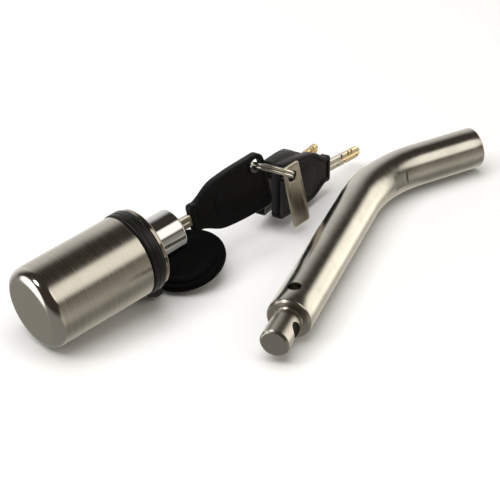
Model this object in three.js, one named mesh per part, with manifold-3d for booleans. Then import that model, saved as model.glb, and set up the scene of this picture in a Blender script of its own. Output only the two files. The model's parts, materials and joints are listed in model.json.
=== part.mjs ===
// Hitch pin lock: a cylindrical lock head with a pop-out key barrel, its keys, and a bent 5/8 inch pin.
// Millimetres, +Z up. The origin is the centre of the footprint, on the surface that everything lies on.
// The lock head lies on its side with its axis in the XZ plane; its barrel end points to +X and is
// held a little high by the dust flap under it. The bent pin lies beside it.

import * as THREE from "three";
import { mergeVertices } from "three/addons/utils/BufferGeometryUtils.js";
import Module from "manifold-3d";

const wasm = await Module();
wasm.setup();

// ---------------------------------------------------------------- driving dimensions

const GAP = 0.3;                       // clearance between separate pieces

// Where the two loose halves lie
const HEAD_PLACE = { x: -99.33, y: 16.5, z: 14.37 };   // centre of the closed end face
const HEAD_TILT = THREE.MathUtils.degToRad(6);       // barrel end raised
const PIN_PLACE = { x: -32.73, y: -36.5 };            // centre of the pin's shoulder
const PIN_YAW = THREE.MathUtils.degToRad(28.1);

// Lock head, along its own axis x from the closed end face
const SHELL_R = 14.85;
const SHELL_LENGTH = 47.8;
const SHELL_FILLET = 4;
const RING_START = 40.6;
const RING_END = 45.9;
const RING_FLOOR_R = 13.0;
const LIP_R = 14.6;
const BORE_R = 8.35;
const BORE_FLOOR = 19.4;
const BOLT_BORE_R = 3.4;

// Socket for the bent pin, across the head on its +Y side
const SOCKET_X = 10.4;
const SOCKET_R = 8.3;
const SHOULDER_DEPTH_Y = 5.5;
const STUB_BORE_R = 5.5;
const STUB_BORE_END_Y = -9.0;

// Key barrel, popped out by its full travel
const BARREL_FRONT = 61.1;
const BARREL_LENGTH = 29.5;
const BARREL_R = 8.0;
const BARREL_BACK = BARREL_FRONT - BARREL_LENGTH;
const PLUG_BORE_R = 4.85;
const PLUG_R = PLUG_BORE_R - GAP;
const PLUG_FLANGE_R = 5.9;
const PLUG_FLANGE = 1.0;
const PLUG_BACK = 42.0;
const SPRING_POCKET_DEPTH = 6.0;
const SPRING_POCKET_R = 5.85;
const BOLT_R = 3.0;
const BOLT_TIP = BARREL_BACK - 5.0;
const BOLT_BACK = BARREL_BACK + 7.2;
const KEYWAY_ROLL = THREE.MathUtils.degToRad(-12);

// Spring latch that holds the barrel
const PAWL = { x0: 39.6, x1: 41.6, halfWidth: 3.0, bottom: -3.6, top: 7.6 };
const PEG_R = 0.7;
const PEG_OFFSET = 0.7071;
const LATCH_GROOVE_R = 9.9;
const TRAVEL = 12;

// Retaining pin and its slot along the barrel
const RETAINER_X = 36;
const RETAINER_R = 1.5;
const RETAINER_INNER = 6.75;
const RETAINER_OUTER = 14.4;
const SLOT_FLOOR = 6.4;

// Dust ring and flap
const HINGE_X = 47.6;
const HINGE_Z = -16.6;
const LUG_R = 1.5;
const LUG_TOP_Z = -13.6;               // the lugs start inside the rubber band
const KNUCKLE_HALF = 3.0;
const FLAP_R = 14.9;
const FLAP_THICK = 2.2;
const FLAP_RECESS_R = 9.0;
const FLAP_RECESS = 0.7;
const FLAP_OPEN = THREE.MathUtils.degToRad(80);

// Keys
const BLADE_H = 4.4;
const BLADE_T = 2.0;
const BLADE_LENGTH = 23;
const TANG_LENGTH = 8;
const KEY_HEAD_LENGTH = 35.3;
const KEY_HEAD_HALF = 10.6;
const KEY_HEAD_T = 3.6;
const KEY_CORNER_R = 3.0;
const KEY_ROOT_X = 68.8;               // front end of key A's head on the lock's axis
const EYE = { k: 31.5, w: 6.4, r: 2.6 };

// Split ring and tag
const RING_R = 8.8;
const WIRE_R = 0.6;
const WIRE_PITCH = 1.32;
const TAG = { width: 7.7, length: 25.6, thick: 1.0, eyeDrop: 4.8, eyeR: 2.1 };

// Bent pin
const PIN_R = 8;
const PIN_STRAIGHT = 78;
const PIN_BEND_R = 54;
const PIN_BEND = THREE.MathUtils.degToRad(39.9);
const PIN_ARM = 27;
const STUB_R = 5.2;
const STUB_LENGTH = 14;
const NOTCH_CENTRE = 5.5;
const NOTCH_CUTTER_R = 3.1;
const NOTCH_DEPTH = 1.5;
const CLIP_HOLE_X = 8.9;
const CLIP_HOLE_R = 2.35;
const CLIP_HOLE_TILT_DEG = 7;
const PIN_SIDES = 28;

// ---------------------------------------------------------------- materials

const finish = (color, roughness, metalness) => new THREE.MeshStandardMaterial({ color, roughness, metalness });
const STAINLESS = [0xa39d92, 0.32, 1.0];
const CHROME = [0xd8dadc, 0.08, 1.0];
const STEEL = [0x8d9094, 0.4, 1.0];
const BRASS = [0xc2a86a, 0.3, 1.0];
const NICKEL = [0xc9c2b2, 0.25, 1.0];
const RUBBER = [0x151414, 0.75, 0.0];
const PLASTIC = [0x101010, 0.45, 0.0];

// ---------------------------------------------------------------- solids

function toSolid(geometry) {
  const bare = geometry.clone();
  bare.deleteAttribute("normal");
  bare.deleteAttribute("uv");
  const merged = mergeVertices(bare, 1e-4);
  const vertProperties = new Float32Array(merged.attributes.position.array);
  const triVerts = new Uint32Array(merged.index.array);
  return new wasm.Manifold(new wasm.Mesh({ numProp: 3, vertProperties, triVerts }));
}

function toGeometry(solid) {
  const mesh = solid.getMesh();
  const geometry = new THREE.BufferGeometry();
  geometry.setAttribute("position", new THREE.BufferAttribute(mesh.vertProperties, 3));
  geometry.setIndex(new THREE.BufferAttribute(mesh.triVerts, 1));
  geometry.computeVertexNormals();
  return geometry;
}

// A profile of [x, r] points turned about the X axis. It starts and ends on the axis, or closes on itself.
function turned(profile, segments = 40) {
  const points = profile.map(([x, r]) => new THREE.Vector2(r, x));
  return toSolid(new THREE.LatheGeometry(points, segments).rotateZ(-Math.PI / 2));
}

const rod = (x0, x1, r, segments = 28) => turned([[x0, 0], [x0, r], [x1, r], [x1, 0]], segments);

function box(x0, x1, y0, y1, z0, z1) {
  const shape = new THREE.BoxGeometry(x1 - x0, y1 - y0, z1 - z0);
  return toSolid(shape.translate((x0 + x1) / 2, (y0 + y1) / 2, (z0 + z1) / 2));
}

// A cylinder along Y or Z.
function rodY(y0, y1, r, x, z, segments = 28) {
  return toSolid(new THREE.CylinderGeometry(r, r, y1 - y0, segments).translate(x, (y0 + y1) / 2, z));
}

function rodZ(z0, z1, r, x, y, segments = 20) {
  const shape = new THREE.CylinderGeometry(r, r, z1 - z0, segments).rotateX(Math.PI / 2);
  return toSolid(shape.translate(x, y, (z0 + z1) / 2));
}

// A flat outline in XY given as a THREE.Shape, from z = -depth / 2 to depth / 2, with bevelled rims.
function plate(shape, depth, bevel = 0, curveSegments = 5) {
  const geometry = new THREE.ExtrudeGeometry(shape, {
    depth: depth - 2 * bevel,
    bevelEnabled: bevel > 0,
    bevelThickness: bevel,
    bevelSize: bevel,
    bevelOffset: -bevel,
    bevelSegments: 1,
    curveSegments,
  });
  return toSolid(geometry.translate(0, 0, bevel - depth / 2));
}

function roundedRect(x0, x1, y0, y1, r) {
  const shape = new THREE.Shape();
  shape.moveTo(x0 + r, y0);
  shape.lineTo(x1 - r, y0);
  shape.absarc(x1 - r, y0 + r, r, -Math.PI / 2, 0);
  shape.lineTo(x1, y1 - r);
  shape.absarc(x1 - r, y1 - r, r, 0, Math.PI / 2);
  shape.lineTo(x0 + r, y1);
  shape.absarc(x0 + r, y1 - r, r, Math.PI / 2, Math.PI);
  shape.lineTo(x0, y0 + r);
  shape.absarc(x0 + r, y0 + r, r, Math.PI, 1.5 * Math.PI);
  return shape;
}

const cutAll = (solid, cutters) => cutters.reduce((rest, cutter) => rest.subtract(cutter), solid);

function node(name, solid, [color, roughness, metalness]) {
  const mesh = new THREE.Mesh(toGeometry(solid), finish(color, roughness, metalness));
  mesh.name = name;
  return mesh;
}

// A quarter circle of [x, r] points about (cx, cr).
function arcPoints(cx, cr, radius, from, to, steps) {
  return Array.from({ length: steps + 1 }, (_, i) => {
    const angle = from + ((to - from) * i) / steps;
    return [cx + radius * Math.cos(angle), cr + radius * Math.sin(angle)];
  });
}

// ---------------------------------------------------------------- lock head

// Closed steel cylinder: rounded end, groove for the dust ring, stepped bore with latch and seal
// grooves, and the cross socket that the bent pin enters.
function shell() {
  const groove = (x0, x1, r) => [[x1, BORE_R], [x1, r], [x0, r], [x0, BORE_R]];
  const latchOut = [PAWL.x0 - GAP, PAWL.x1 + GAP];
  const latchIn = latchOut.map((x) => x - TRAVEL);
  const body = turned([
    [0, 0],
    ...arcPoints(SHELL_FILLET, SHELL_R - SHELL_FILLET, SHELL_FILLET, Math.PI, Math.PI / 2, 6),
    [RING_START, SHELL_R],
    [RING_START, RING_FLOOR_R],
    [RING_END, RING_FLOOR_R],
    [RING_END, LIP_R],
    [SHELL_LENGTH - 0.5, LIP_R],
    [SHELL_LENGTH, LIP_R - 0.5],
    [SHELL_LENGTH, BORE_R + 0.5],
    [SHELL_LENGTH - 0.5, BORE_R],
    ...groove(43.8, 46.0, 9.8),
    ...groove(...latchOut, LATCH_GROOVE_R),
    ...groove(...latchIn, LATCH_GROOVE_R),
    [BORE_FLOOR, BORE_R],
    [BORE_FLOOR, BOLT_BORE_R],
    [SOCKET_X, BOLT_BORE_R],
    [SOCKET_X, 0],
  ], 48);
  return cutAll(body, [
    rodY(SHOULDER_DEPTH_Y, SHELL_R + 1, SOCKET_R, SOCKET_X, 0, 32),
    rodY(STUB_BORE_END_Y, SHELL_R, STUB_BORE_R, SOCKET_X, 0),
    rodZ(-SHELL_R - 1, 0, RETAINER_R + GAP, RETAINER_X, 0, 16),
  ]);
}

// An outline in (x, z), stood up in the XZ plane and centred on y.
const upright = (shape, width, y) => plate(shape, width).rotate([90, 0, 0]).translate([0, y, 0]);

// Rubber ring in the shell's groove, with two lugs under it that carry the flap.
function dustRing() {
  const outer = SHELL_R + 0.4;
  const band = turned([
    [RING_START + GAP, RING_FLOOR_R + GAP],
    [RING_START + GAP, outer - 0.5],
    [RING_START + GAP + 0.5, outer],
    [RING_END - GAP - 0.5, outer],
    [RING_END - GAP, outer - 0.5],
    [RING_END - GAP, RING_FLOOR_R + GAP],
    [RING_START + GAP, RING_FLOOR_R + GAP],
  ]);
  const lug = new THREE.Shape();
  lug.moveTo(RING_START + GAP + 0.6, LUG_TOP_Z);
  lug.lineTo(RING_START + GAP + 1.6, HINGE_Z + 0.2);
  lug.lineTo(HINGE_X - 1.4, HINGE_Z - LUG_R);
  lug.absarc(HINGE_X, HINGE_Z, LUG_R, -Math.PI / 2, Math.PI / 2);
  lug.lineTo(RING_END - GAP - 0.4, LUG_TOP_Z);
  const lugWidth = 3.2;
  const lugY = KNUCKLE_HALF + GAP + lugWidth / 2;
  const lugs = [-lugY, lugY].map((y) => upright(lug, lugWidth, y));
  const lipEnd = SHELL_LENGTH + GAP;
  const lipSpace = LIP_R + GAP;
  const keepOut = turned([[RING_END - GAP, 0], [RING_END - GAP, lipSpace], [lipEnd, lipSpace], [lipEnd, 0]]);
  return band.add(lugs[0]).add(lugs[1]).subtract(keepOut);
}

// Rubber flap, drawn closed against the lip and then swung open about its knuckle.
function flap() {
  const back = SHELL_LENGTH + GAP + 0.2;
  const front = back + FLAP_THICK;
  const disc = turned([
    [back + FLAP_RECESS, 0],
    [back + FLAP_RECESS, FLAP_RECESS_R],
    [back, FLAP_RECESS_R + 0.6],
    [back, FLAP_R - 0.5],
    [back + 0.5, FLAP_R],
    [front - 0.7, FLAP_R],
    [front, FLAP_R - 0.7],
    [front, FLAP_R - 2.4],
    [front - 0.5, FLAP_R - 2.9],
    [front - 0.5, 0],
  ]);
  const web = new THREE.Shape();
  web.moveTo(HINGE_X, HINGE_Z + LUG_R);
  web.absarc(HINGE_X, HINGE_Z, LUG_R, Math.PI / 2, 1.5 * Math.PI);
  web.lineTo(front - 0.6, HINGE_Z + 0.4);
  web.lineTo(front - 0.3, LUG_TOP_Z);
  web.lineTo(back + 0.2, LUG_TOP_Z);
  web.lineTo(back + 0.2, HINGE_Z + LUG_R);
  const closed = disc.add(upright(web, 2 * KNUCKLE_HALF, 0));
  const swing = THREE.MathUtils.radToDeg(FLAP_OPEN);
  return closed.translate([-HINGE_X, 0, -HINGE_Z]).rotate([0, swing, 0]).translate([HINGE_X, 0, HINGE_Z]);
}

// Chromed housing that slides in the shell: plug bore, wafer channel, latch slot, retainer slot,
// spring pocket and the hole that takes the bolt.
function barrelHousing() {
  const pocketEnd = BARREL_BACK + SPRING_POCKET_DEPTH;
  const plugBoreEnd = PLUG_BACK - GAP;
  const body = turned([
    [BARREL_BACK, BOLT_R + GAP],
    [BARREL_BACK, BARREL_R - 0.6],
    [BARREL_BACK + 0.6, BARREL_R],
    [BARREL_FRONT - 0.7, BARREL_R],
    [BARREL_FRONT - 0.2, BARREL_R - 0.2],
    [BARREL_FRONT, BARREL_R - 0.7],
    [BARREL_FRONT, PLUG_FLANGE_R + GAP],
    [BARREL_FRONT - PLUG_FLANGE - GAP, PLUG_FLANGE_R + GAP],
    [BARREL_FRONT - PLUG_FLANGE - GAP, PLUG_BORE_R],
    [44.0, PLUG_BORE_R],
    [44.0, PLUG_BORE_R + 1],
    [42.4, PLUG_BORE_R + 1],
    [42.4, PLUG_BORE_R],
    [plugBoreEnd, PLUG_BORE_R],
    [plugBoreEnd, BOLT_R + GAP],
    [BARREL_BACK, BOLT_R + GAP],
  ], 36);
  const pocket = rod(BARREL_BACK - 1, pocketEnd, SPRING_POCKET_R);
  const channel = box(45, 58.6, -1.7, 1.7, -5.9, 5.9).rotate([THREE.MathUtils.radToDeg(KEYWAY_ROLL), 0, 0]);
  const latchSlot = box(PAWL.x0 - GAP, PAWL.x1 + GAP, -PAWL.halfWidth - GAP, PAWL.halfWidth + GAP, -4.6, 9);
  const slotStart = RETAINER_X - RETAINER_R - GAP;
  const slotEnd = RETAINER_X + TRAVEL + RETAINER_R + GAP;
  const halfSlot = RETAINER_R + GAP;
  const retainerSlot = box(slotStart, slotEnd, -halfSlot, halfSlot, -BARREL_R - 1, -SLOT_FLOOR);
  return cutAll(body, [pocket, channel, latchSlot, retainerSlot]);
}

// Wafer stations along the plug.
const WAFER_X = [46.6, 49.2, 51.8, 54.4, 57.0];
const WAFER_T = 1.0;

// Keyway plug with its front flange, keyway, wafer slots, clip groove and the peg that works the latch.
function plug() {
  const body = turned([
    [PLUG_BACK, 0],
    [PLUG_BACK, PLUG_R],
    [42.6, PLUG_R],
    [42.6, 3.6],
    [43.8, 3.6],
    [43.8, PLUG_R],
    [BARREL_FRONT - PLUG_FLANGE, PLUG_R],
    [BARREL_FRONT - PLUG_FLANGE, PLUG_FLANGE_R],
    [BARREL_FRONT - 0.3, PLUG_FLANGE_R],
    [BARREL_FRONT, PLUG_FLANGE_R - 0.3],
    [BARREL_FRONT, 0],
  ], 32);
  const halfT = BLADE_T / 2 + GAP;
  const halfH = BLADE_H / 2 + GAP;
  const keyway = box(PLUG_BACK + 0.7, BARREL_FRONT + 1, -halfT, halfT, -halfH, halfH);
  const half = WAFER_T / 2 + GAP;
  const slots = WAFER_X.map((x) => box(x - half, x + half, -3.1, 3.1, -PLUG_R - 1, PLUG_R + 1));
  const roll = THREE.MathUtils.radToDeg(KEYWAY_ROLL);
  const peg = rod(PAWL.x0 + 0.2, PLUG_BACK + 0.3, PEG_R, 16).translate([0, PEG_OFFSET, -PEG_OFFSET]);
  return cutAll(body, [keyway, ...slots]).rotate([roll, 0, 0]).add(peg);
}

// One tumbler: a thin plate with a window that the key's blade passes through.
function wafer(x) {
  const outline = rod(x - WAFER_T / 2, x + WAFER_T / 2, PLUG_R - 0.2, 24);
  const sides = box(x - 1, x + 1, -2.8, 2.8, -9, 9);
  const window = box(x - 1, x + 1, -BLADE_T / 2 - GAP, BLADE_T / 2 + GAP, -BLADE_H / 2 - GAP, BLADE_H / 2 + GAP);
  return outline.intersect(sides).subtract(window).rotate([THREE.MathUtils.radToDeg(KEYWAY_ROLL), 0, 0]);
}

// Spring clip in the plug's groove, open on one side.
function plugClip() {
  const ring = turned([[42.8, 3.9], [42.8, 5.5], [43.6, 5.5], [43.6, 3.9], [42.8, 3.9]], 28);
  return ring.subtract(box(42, 44, -1.6, 1.6, -7, 0));
}

// Latch that holds the barrel in: a flat bar with a window for the plug's peg.
function pawl() {
  const bar = box(PAWL.x0, PAWL.x1, -PAWL.halfWidth, PAWL.halfWidth, PAWL.bottom, PAWL.top);
  const nose = rod(PAWL.x0 - 1, PAWL.x1 + 1, BARREL_R - 0.1, 36);
  const window = box(PAWL.x0 - 1, PAWL.x1 + 1, -1.2, 2.3, -2.2, 1.0);
  return bar.intersect(nose).subtract(window);
}

// Locking bolt: a round nose that enters the pin's notch, and a shank held in the barrel.
function lockBolt() {
  return turned([
    [BOLT_TIP, 0],
    [BOLT_TIP, 1.2],
    [BOLT_TIP + 0.5, 2.1],
    [BOLT_TIP + 1.6, 2.6],
    [BOLT_TIP + 2.6, BOLT_R],
    [BOLT_BACK, BOLT_R],
    [BOLT_BACK, 0],
  ], 24);
}

// A coil of round wire about the X axis.
class Coil extends THREE.Curve {
  constructor(x0, x1, radius, turns) {
    super();
    Object.assign(this, { x0, x1, radius, turns });
  }

  getPoint(t, target = new THREE.Vector3()) {
    const angle = 2 * Math.PI * this.turns * t;
    const x = this.x0 + (this.x1 - this.x0) * t;
    return target.set(x, this.radius * Math.cos(angle), this.radius * Math.sin(angle));
  }
}

function wire(curve, radius, steps, sides) {
  const section = new THREE.Shape();
  for (let i = 0; i < sides; i += 1) {
    const angle = (2 * Math.PI * i) / sides;
    const draw = i === 0 ? "moveTo" : "lineTo";
    section[draw](radius * Math.cos(angle), radius * Math.sin(angle));
  }
  return toSolid(new THREE.ExtrudeGeometry(section, { steps, bevelEnabled: false, extrudePath: curve }));
}

const returnSpring = () => {
  const wireR = 0.4;
  const from = BORE_FLOOR + wireR + GAP;
  const to = BARREL_BACK + SPRING_POCKET_DEPTH - wireR - GAP;
  return wire(new Coil(from, to, 4.6, 6), wireR, 60, 6);
};

const retainingPin = () => rodZ(-RETAINER_OUTER, -RETAINER_INNER, RETAINER_R, RETAINER_X, 0, 16);

const sealRing = () => turned([[44.1, 8.3], [44.1, 9.5], [45.7, 9.5], [45.7, 8.3], [44.1, 8.3]], 32);

// ---------------------------------------------------------------- keys, split ring and tag

// A key lies along X: the blade's tip at -X, the head's root at x = 0, its eye near the far end at +Y.
function keyHead() {
  const end = KEY_HEAD_LENGTH;
  const half = KEY_HEAD_HALF;
  const corner = KEY_CORNER_R;
  const shape = new THREE.Shape();
  shape.moveTo(0, -3.9);
  shape.quadraticCurveTo(0.3, -5.4, 2.2, -5.2);
  shape.lineTo(3.6, -5.3);
  shape.bezierCurveTo(7.5, -6.8, 9, -9, 14, -9.6);
  shape.lineTo(22, -10.3);
  shape.lineTo(end - corner, -half);
  shape.absarc(end - corner, corner - half, corner, -Math.PI / 2, 0);
  shape.lineTo(end, half - corner);
  shape.absarc(end - corner, half - corner, corner, 0, Math.PI / 2);
  shape.lineTo(22, 10.3);
  shape.lineTo(14, 9.6);
  shape.bezierCurveTo(9, 9, 7.5, 6.8, 3.6, 5.3);
  shape.lineTo(2.2, 5.2);
  shape.quadraticCurveTo(0.3, 5.4, 0, 3.9);
  const slotT = BLADE_T / 2 + GAP;
  const slotH = BLADE_H / 2 + GAP;
  return cutAll(plate(shape, KEY_HEAD_T, 0.6), [
    rodZ(-KEY_HEAD_T, KEY_HEAD_T, EYE.r, EYE.k, EYE.w),
    box(-1, TANG_LENGTH + GAP, -slotH, slotH, -slotT, slotT),
  ]);
}

function keyBlade() {
  const h = BLADE_H / 2;
  const outline = new THREE.Shape();
  outline.moveTo(-BLADE_LENGTH, -0.5);
  outline.lineTo(-BLADE_LENGTH + 1.8, -h);
  outline.lineTo(TANG_LENGTH, -h);
  outline.lineTo(TANG_LENGTH, h);
  outline.lineTo(-BLADE_LENGTH + 1.8, h);
  outline.lineTo(-BLADE_LENGTH, 0.5);
  const grooves = [-1, 1].map((side) => {
    const edge = side * (BLADE_T / 2);
    return box(-BLADE_LENGTH - 1, 0, -0.7, 0.7, Math.min(edge, edge - side * 0.5), Math.max(edge, edge + side));
  });
  return cutAll(plate(outline, BLADE_T), grooves);
}

// Two close turns of wire about X, centred on the ring's own centre.
const splitRing = () => wire(new Coil(-WIRE_PITCH, WIRE_PITCH - 0.1, RING_R, 1.96), WIRE_R, 64, 6);

// Tag along -X from its eye, flat in XY.
function tag() {
  const { width, length, thick, eyeDrop, eyeR } = TAG;
  const blank = plate(roundedRect(eyeDrop - length, eyeDrop, -width / 2, width / 2, 1.2), thick, 0.2, 3);
  return blank.subtract(rodZ(-2, 2, eyeR, 0, 0));
}

// ---------------------------------------------------------------- bent pin

// Centre line in XY: straight along +X, a bend to the right, and a short straight arm.
class BentLine extends THREE.Curve {
  getPoint(t, target = new THREE.Vector3()) {
    const bendLength = PIN_BEND_R * PIN_BEND;
    const s = t * (PIN_STRAIGHT + bendLength + PIN_ARM);
    const turnedBy = THREE.MathUtils.clamp((s - PIN_STRAIGHT) / PIN_BEND_R, 0, PIN_BEND);
    const straight = Math.min(s, PIN_STRAIGHT);
    const arm = Math.max(s - PIN_STRAIGHT - bendLength, 0);
    const x = straight + PIN_BEND_R * Math.sin(turnedBy) + arm * Math.cos(turnedBy);
    const y = PIN_BEND_R * (Math.cos(turnedBy) - 1) - arm * Math.sin(turnedBy);
    return target.set(x, y, 0);
  }
}

// A ring that cuts a chamfer on a round end whose face is at x = 0 and whose body runs to -x.
function chamferCutter(r, size) {
  const over = 0.5;
  const rim = r + 2;
  const start = [-size - over, r + over];
  return turned([start, [-size - over, rim], [over, rim], [over, r - size - over], start], PIN_SIDES);
}

function bentPin() {
  const shaft = wire(new BentLine(), PIN_R, 34, PIN_SIDES);
  const stub = turned([
    [-STUB_LENGTH, 0],
    [-STUB_LENGTH, STUB_R - 0.8],
    [0.8 - STUB_LENGTH, STUB_R],
    [1, STUB_R],
    [1, 0],
  ], PIN_SIDES);
  const notchY = -(STUB_R + NOTCH_CUTTER_R - NOTCH_DEPTH);
  const notch = rodZ(-9, 9, NOTCH_CUTTER_R, -NOTCH_CENTRE, notchY);
  const clipHole = rodZ(-9, 9, CLIP_HOLE_R, 0, 0).rotate([-CLIP_HOLE_TILT_DEG, 0, 0]).translate([CLIP_HOLE_X, 0, 0]);
  const shoulder = chamferCutter(PIN_R, 0.9).rotate([0, 0, 180]);
  const end = new BentLine().getPoint(1);
  const armEnd = chamferCutter(PIN_R, 0.8).rotate([0, 0, -THREE.MathUtils.radToDeg(PIN_BEND)]);
  return cutAll(shaft, [shoulder, armEnd.translate([end.x, end.y, 0])]).add(stub).subtract(notch).subtract(clipHole);
}

// ---------------------------------------------------------------- assembly

const group = new THREE.Group();

const head = new THREE.Group();
head.position.set(HEAD_PLACE.x, HEAD_PLACE.y, HEAD_PLACE.z);
head.rotation.y = -HEAD_TILT;
group.add(head);
head.add(node("shell", shell(), STAINLESS));
head.add(node("dust_ring", dustRing(), RUBBER));
head.add(node("dust_flap", flap(), RUBBER));
head.add(node("barrel_housing", barrelHousing(), CHROME));
head.add(node("keyway_plug", plug(), CHROME));
head.add(node("plug_clip", plugClip(), STEEL));
head.add(node("latch_pawl", pawl(), STEEL));
head.add(node("lock_bolt", lockBolt(), STEEL));
head.add(node("return_spring", returnSpring(), STEEL));
head.add(node("retaining_pin", retainingPin(), STEEL));
head.add(node("barrel_seal", sealRing(), RUBBER));
WAFER_X.forEach((x, i) => head.add(node(`wafer_${i + 1}`, wafer(x), BRASS)));

// Adds a key's head and blade under a group whose axes are the key's own.
function addKey(parent, letter, bladeFinish) {
  parent.add(node(`key_${letter}_head`, keyHead(), PLASTIC));
  parent.add(node(`key_${letter}_blade`, keyBlade(), bladeFinish));
}

// Key A stands in the keyway.
const keyA = new THREE.Group();
keyA.position.set(KEY_ROOT_X, 0, 0);
keyA.rotation.x = Math.PI / 2 + KEYWAY_ROLL;
head.add(keyA);
addKey(keyA, "a", NICKEL);

// The split ring passes through key A's eye. Its own frame: x away from key A, y along the wire there.
head.updateMatrixWorld(true);
const eyeA = keyA.localToWorld(new THREE.Vector3(EYE.k, EYE.w, 0));
const ringNormal = new THREE.Vector3(0.548, 0.239, 0.802).normalize();
const ringAcross = new THREE.Vector3(0.826, -0.001, -0.564);
ringAcross.addScaledVector(ringNormal, -ringAcross.dot(ringNormal)).normalize();
const ringAlong = new THREE.Vector3().crossVectors(ringNormal, ringAcross);
const ringCentre = eyeA.clone().addScaledVector(ringAcross, RING_R);

const ring = new THREE.Group();
ring.position.copy(ringCentre);
ring.quaternion.setFromRotationMatrix(new THREE.Matrix4().makeBasis(ringNormal, ringAcross, ringAlong));
group.add(ring);
ring.add(node("split_ring", splitRing(), NICKEL));

// Directions at a place on the ring, counted in degrees from key A's eye.
function onRing(degrees) {
  const angle = THREE.MathUtils.degToRad(degrees);
  const outward = ringAcross.clone().multiplyScalar(-Math.cos(angle)).addScaledVector(ringAlong, Math.sin(angle));
  const place = ringCentre.clone().addScaledVector(outward, RING_R);
  return { outward, place };
}

// Hangs a key at a place on the ring. Dip is how far its blade leans out of the ring's plane, and
// twist how far it swings in that plane towards the next place round.
function hangKey(letter, degrees, dipDegrees, twistDegrees, bladeFinish) {
  const { outward, place } = onRing(degrees);
  const dip = THREE.MathUtils.degToRad(dipDegrees);
  const toTip = outward.clone().multiplyScalar(Math.cos(dip)).addScaledVector(ringNormal, Math.sin(dip));
  const side = outward.clone().multiplyScalar(-Math.sin(dip)).addScaledVector(ringNormal, Math.cos(dip));
  const twist = THREE.MathUtils.degToRad(-twistDegrees);
  const along = toTip.negate().applyAxisAngle(ringNormal, twist);
  side.applyAxisAngle(ringNormal, twist);
  const face = new THREE.Vector3().crossVectors(along, side);
  const key = new THREE.Group();
  key.quaternion.setFromRotationMatrix(new THREE.Matrix4().makeBasis(along, side, face));
  key.position.copy(place).addScaledVector(along, -EYE.k).addScaledVector(side, -EYE.w);
  group.add(key);
  addKey(key, letter, bladeFinish);
}

hangKey("b", 172, 27, 0, NICKEL);
hangKey("c", 138, 24, 20, BRASS);

// The tag hangs down from the near side of the ring.
const tagUp = new THREE.Vector3(-0.143, 0.127, 0.979).normalize();
const tagAcross = new THREE.Vector3(0.987, 0.013, 0.143);
tagAcross.addScaledVector(tagUp, -tagAcross.dot(tagUp)).normalize();
const hung = new THREE.Group();
hung.quaternion.setFromRotationMatrix(
  new THREE.Matrix4().makeBasis(tagUp, tagAcross, new THREE.Vector3().crossVectors(tagUp, tagAcross)));
hung.position.copy(onRing(230).place);
group.add(hung);
hung.add(node("tag", tag(), NICKEL));

const pin = new THREE.Group();
pin.position.set(PIN_PLACE.x, PIN_PLACE.y, PIN_R);
pin.rotation.z = PIN_YAW;
group.add(pin);
pin.add(node("bent_pin", bentPin(), STAINLESS));

export default group;
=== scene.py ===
import json
import math

import bmesh
import bpy
from mathutils import Matrix, Vector


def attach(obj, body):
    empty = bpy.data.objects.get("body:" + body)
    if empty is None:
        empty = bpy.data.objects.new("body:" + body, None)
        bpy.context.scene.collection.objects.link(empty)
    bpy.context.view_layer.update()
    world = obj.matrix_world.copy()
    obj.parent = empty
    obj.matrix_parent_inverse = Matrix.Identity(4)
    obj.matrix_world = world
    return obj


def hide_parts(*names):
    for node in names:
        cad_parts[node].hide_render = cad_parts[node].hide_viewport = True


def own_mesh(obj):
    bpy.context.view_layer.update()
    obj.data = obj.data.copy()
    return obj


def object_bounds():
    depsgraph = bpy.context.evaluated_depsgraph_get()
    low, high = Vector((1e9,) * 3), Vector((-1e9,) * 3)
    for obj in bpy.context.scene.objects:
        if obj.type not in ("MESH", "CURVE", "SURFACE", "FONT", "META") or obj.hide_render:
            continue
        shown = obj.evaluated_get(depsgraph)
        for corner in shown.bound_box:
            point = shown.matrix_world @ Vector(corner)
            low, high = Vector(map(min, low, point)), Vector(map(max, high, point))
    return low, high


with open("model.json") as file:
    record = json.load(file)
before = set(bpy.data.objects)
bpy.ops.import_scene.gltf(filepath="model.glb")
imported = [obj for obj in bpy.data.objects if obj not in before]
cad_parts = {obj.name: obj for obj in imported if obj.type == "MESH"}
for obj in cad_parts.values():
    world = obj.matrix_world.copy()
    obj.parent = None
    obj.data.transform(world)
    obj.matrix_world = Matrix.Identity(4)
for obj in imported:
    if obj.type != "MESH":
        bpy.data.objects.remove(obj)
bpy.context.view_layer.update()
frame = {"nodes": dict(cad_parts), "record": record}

RECORD = frame["record"]
JOINTS = {joint["name"]: joint for joint in RECORD["behaviour"]["joints"]}
MOUNTS = {mount["name"]: mount for mount in RECORD["mounts"]}
MM = 0.001

# ---------------------------------------------------------------- dimensions, mm

SHELL_R = 14.85
SHELL_LENGTH = 47.8
SHELL_FILLET = 4.0
RING_START, RING_END, RING_FLOOR_R = 40.6, 45.9, 13.0
LIP_R = 14.6
BORE_R, BORE_FLOOR, BOLT_BORE_R = 8.35, 19.4, 3.4
LATCH_START, LATCH_END, LATCH_GROOVE_R = 39.3, 41.9, 9.9
SEAL_START, SEAL_END, SEAL_GROOVE_R = 43.8, 46.0, 9.8
RETAINER_X, RETAINER_R = 36.0, 1.8
TRAVEL = 12.0
GAP = 0.3
SOCKET_X, SOCKET_R, SHOULDER_DEPTH_Y = 10.4, 8.3, 5.5
STUB_BORE_R, STUB_BORE_END_Y = 5.5, -9.0
BARREL_FRONT, BARREL_LENGTH, BARREL_R = 61.1, 29.5, 8.0
BARREL_BACK = BARREL_FRONT - BARREL_LENGTH
BOLT_HOLE_R = 3.3
PLUG_BORE_R, PLUG_FLANGE_R, PLUG_FLANGE, PLUG_BACK = 4.85, 5.9, 1.0, 42.0
CLIP_START, CLIP_END, CLIP_DEPTH = 42.4, 44.0, 1.0
WAFER_PLACES = (46.6, 49.2, 51.8, 54.4, 57.0)
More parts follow.
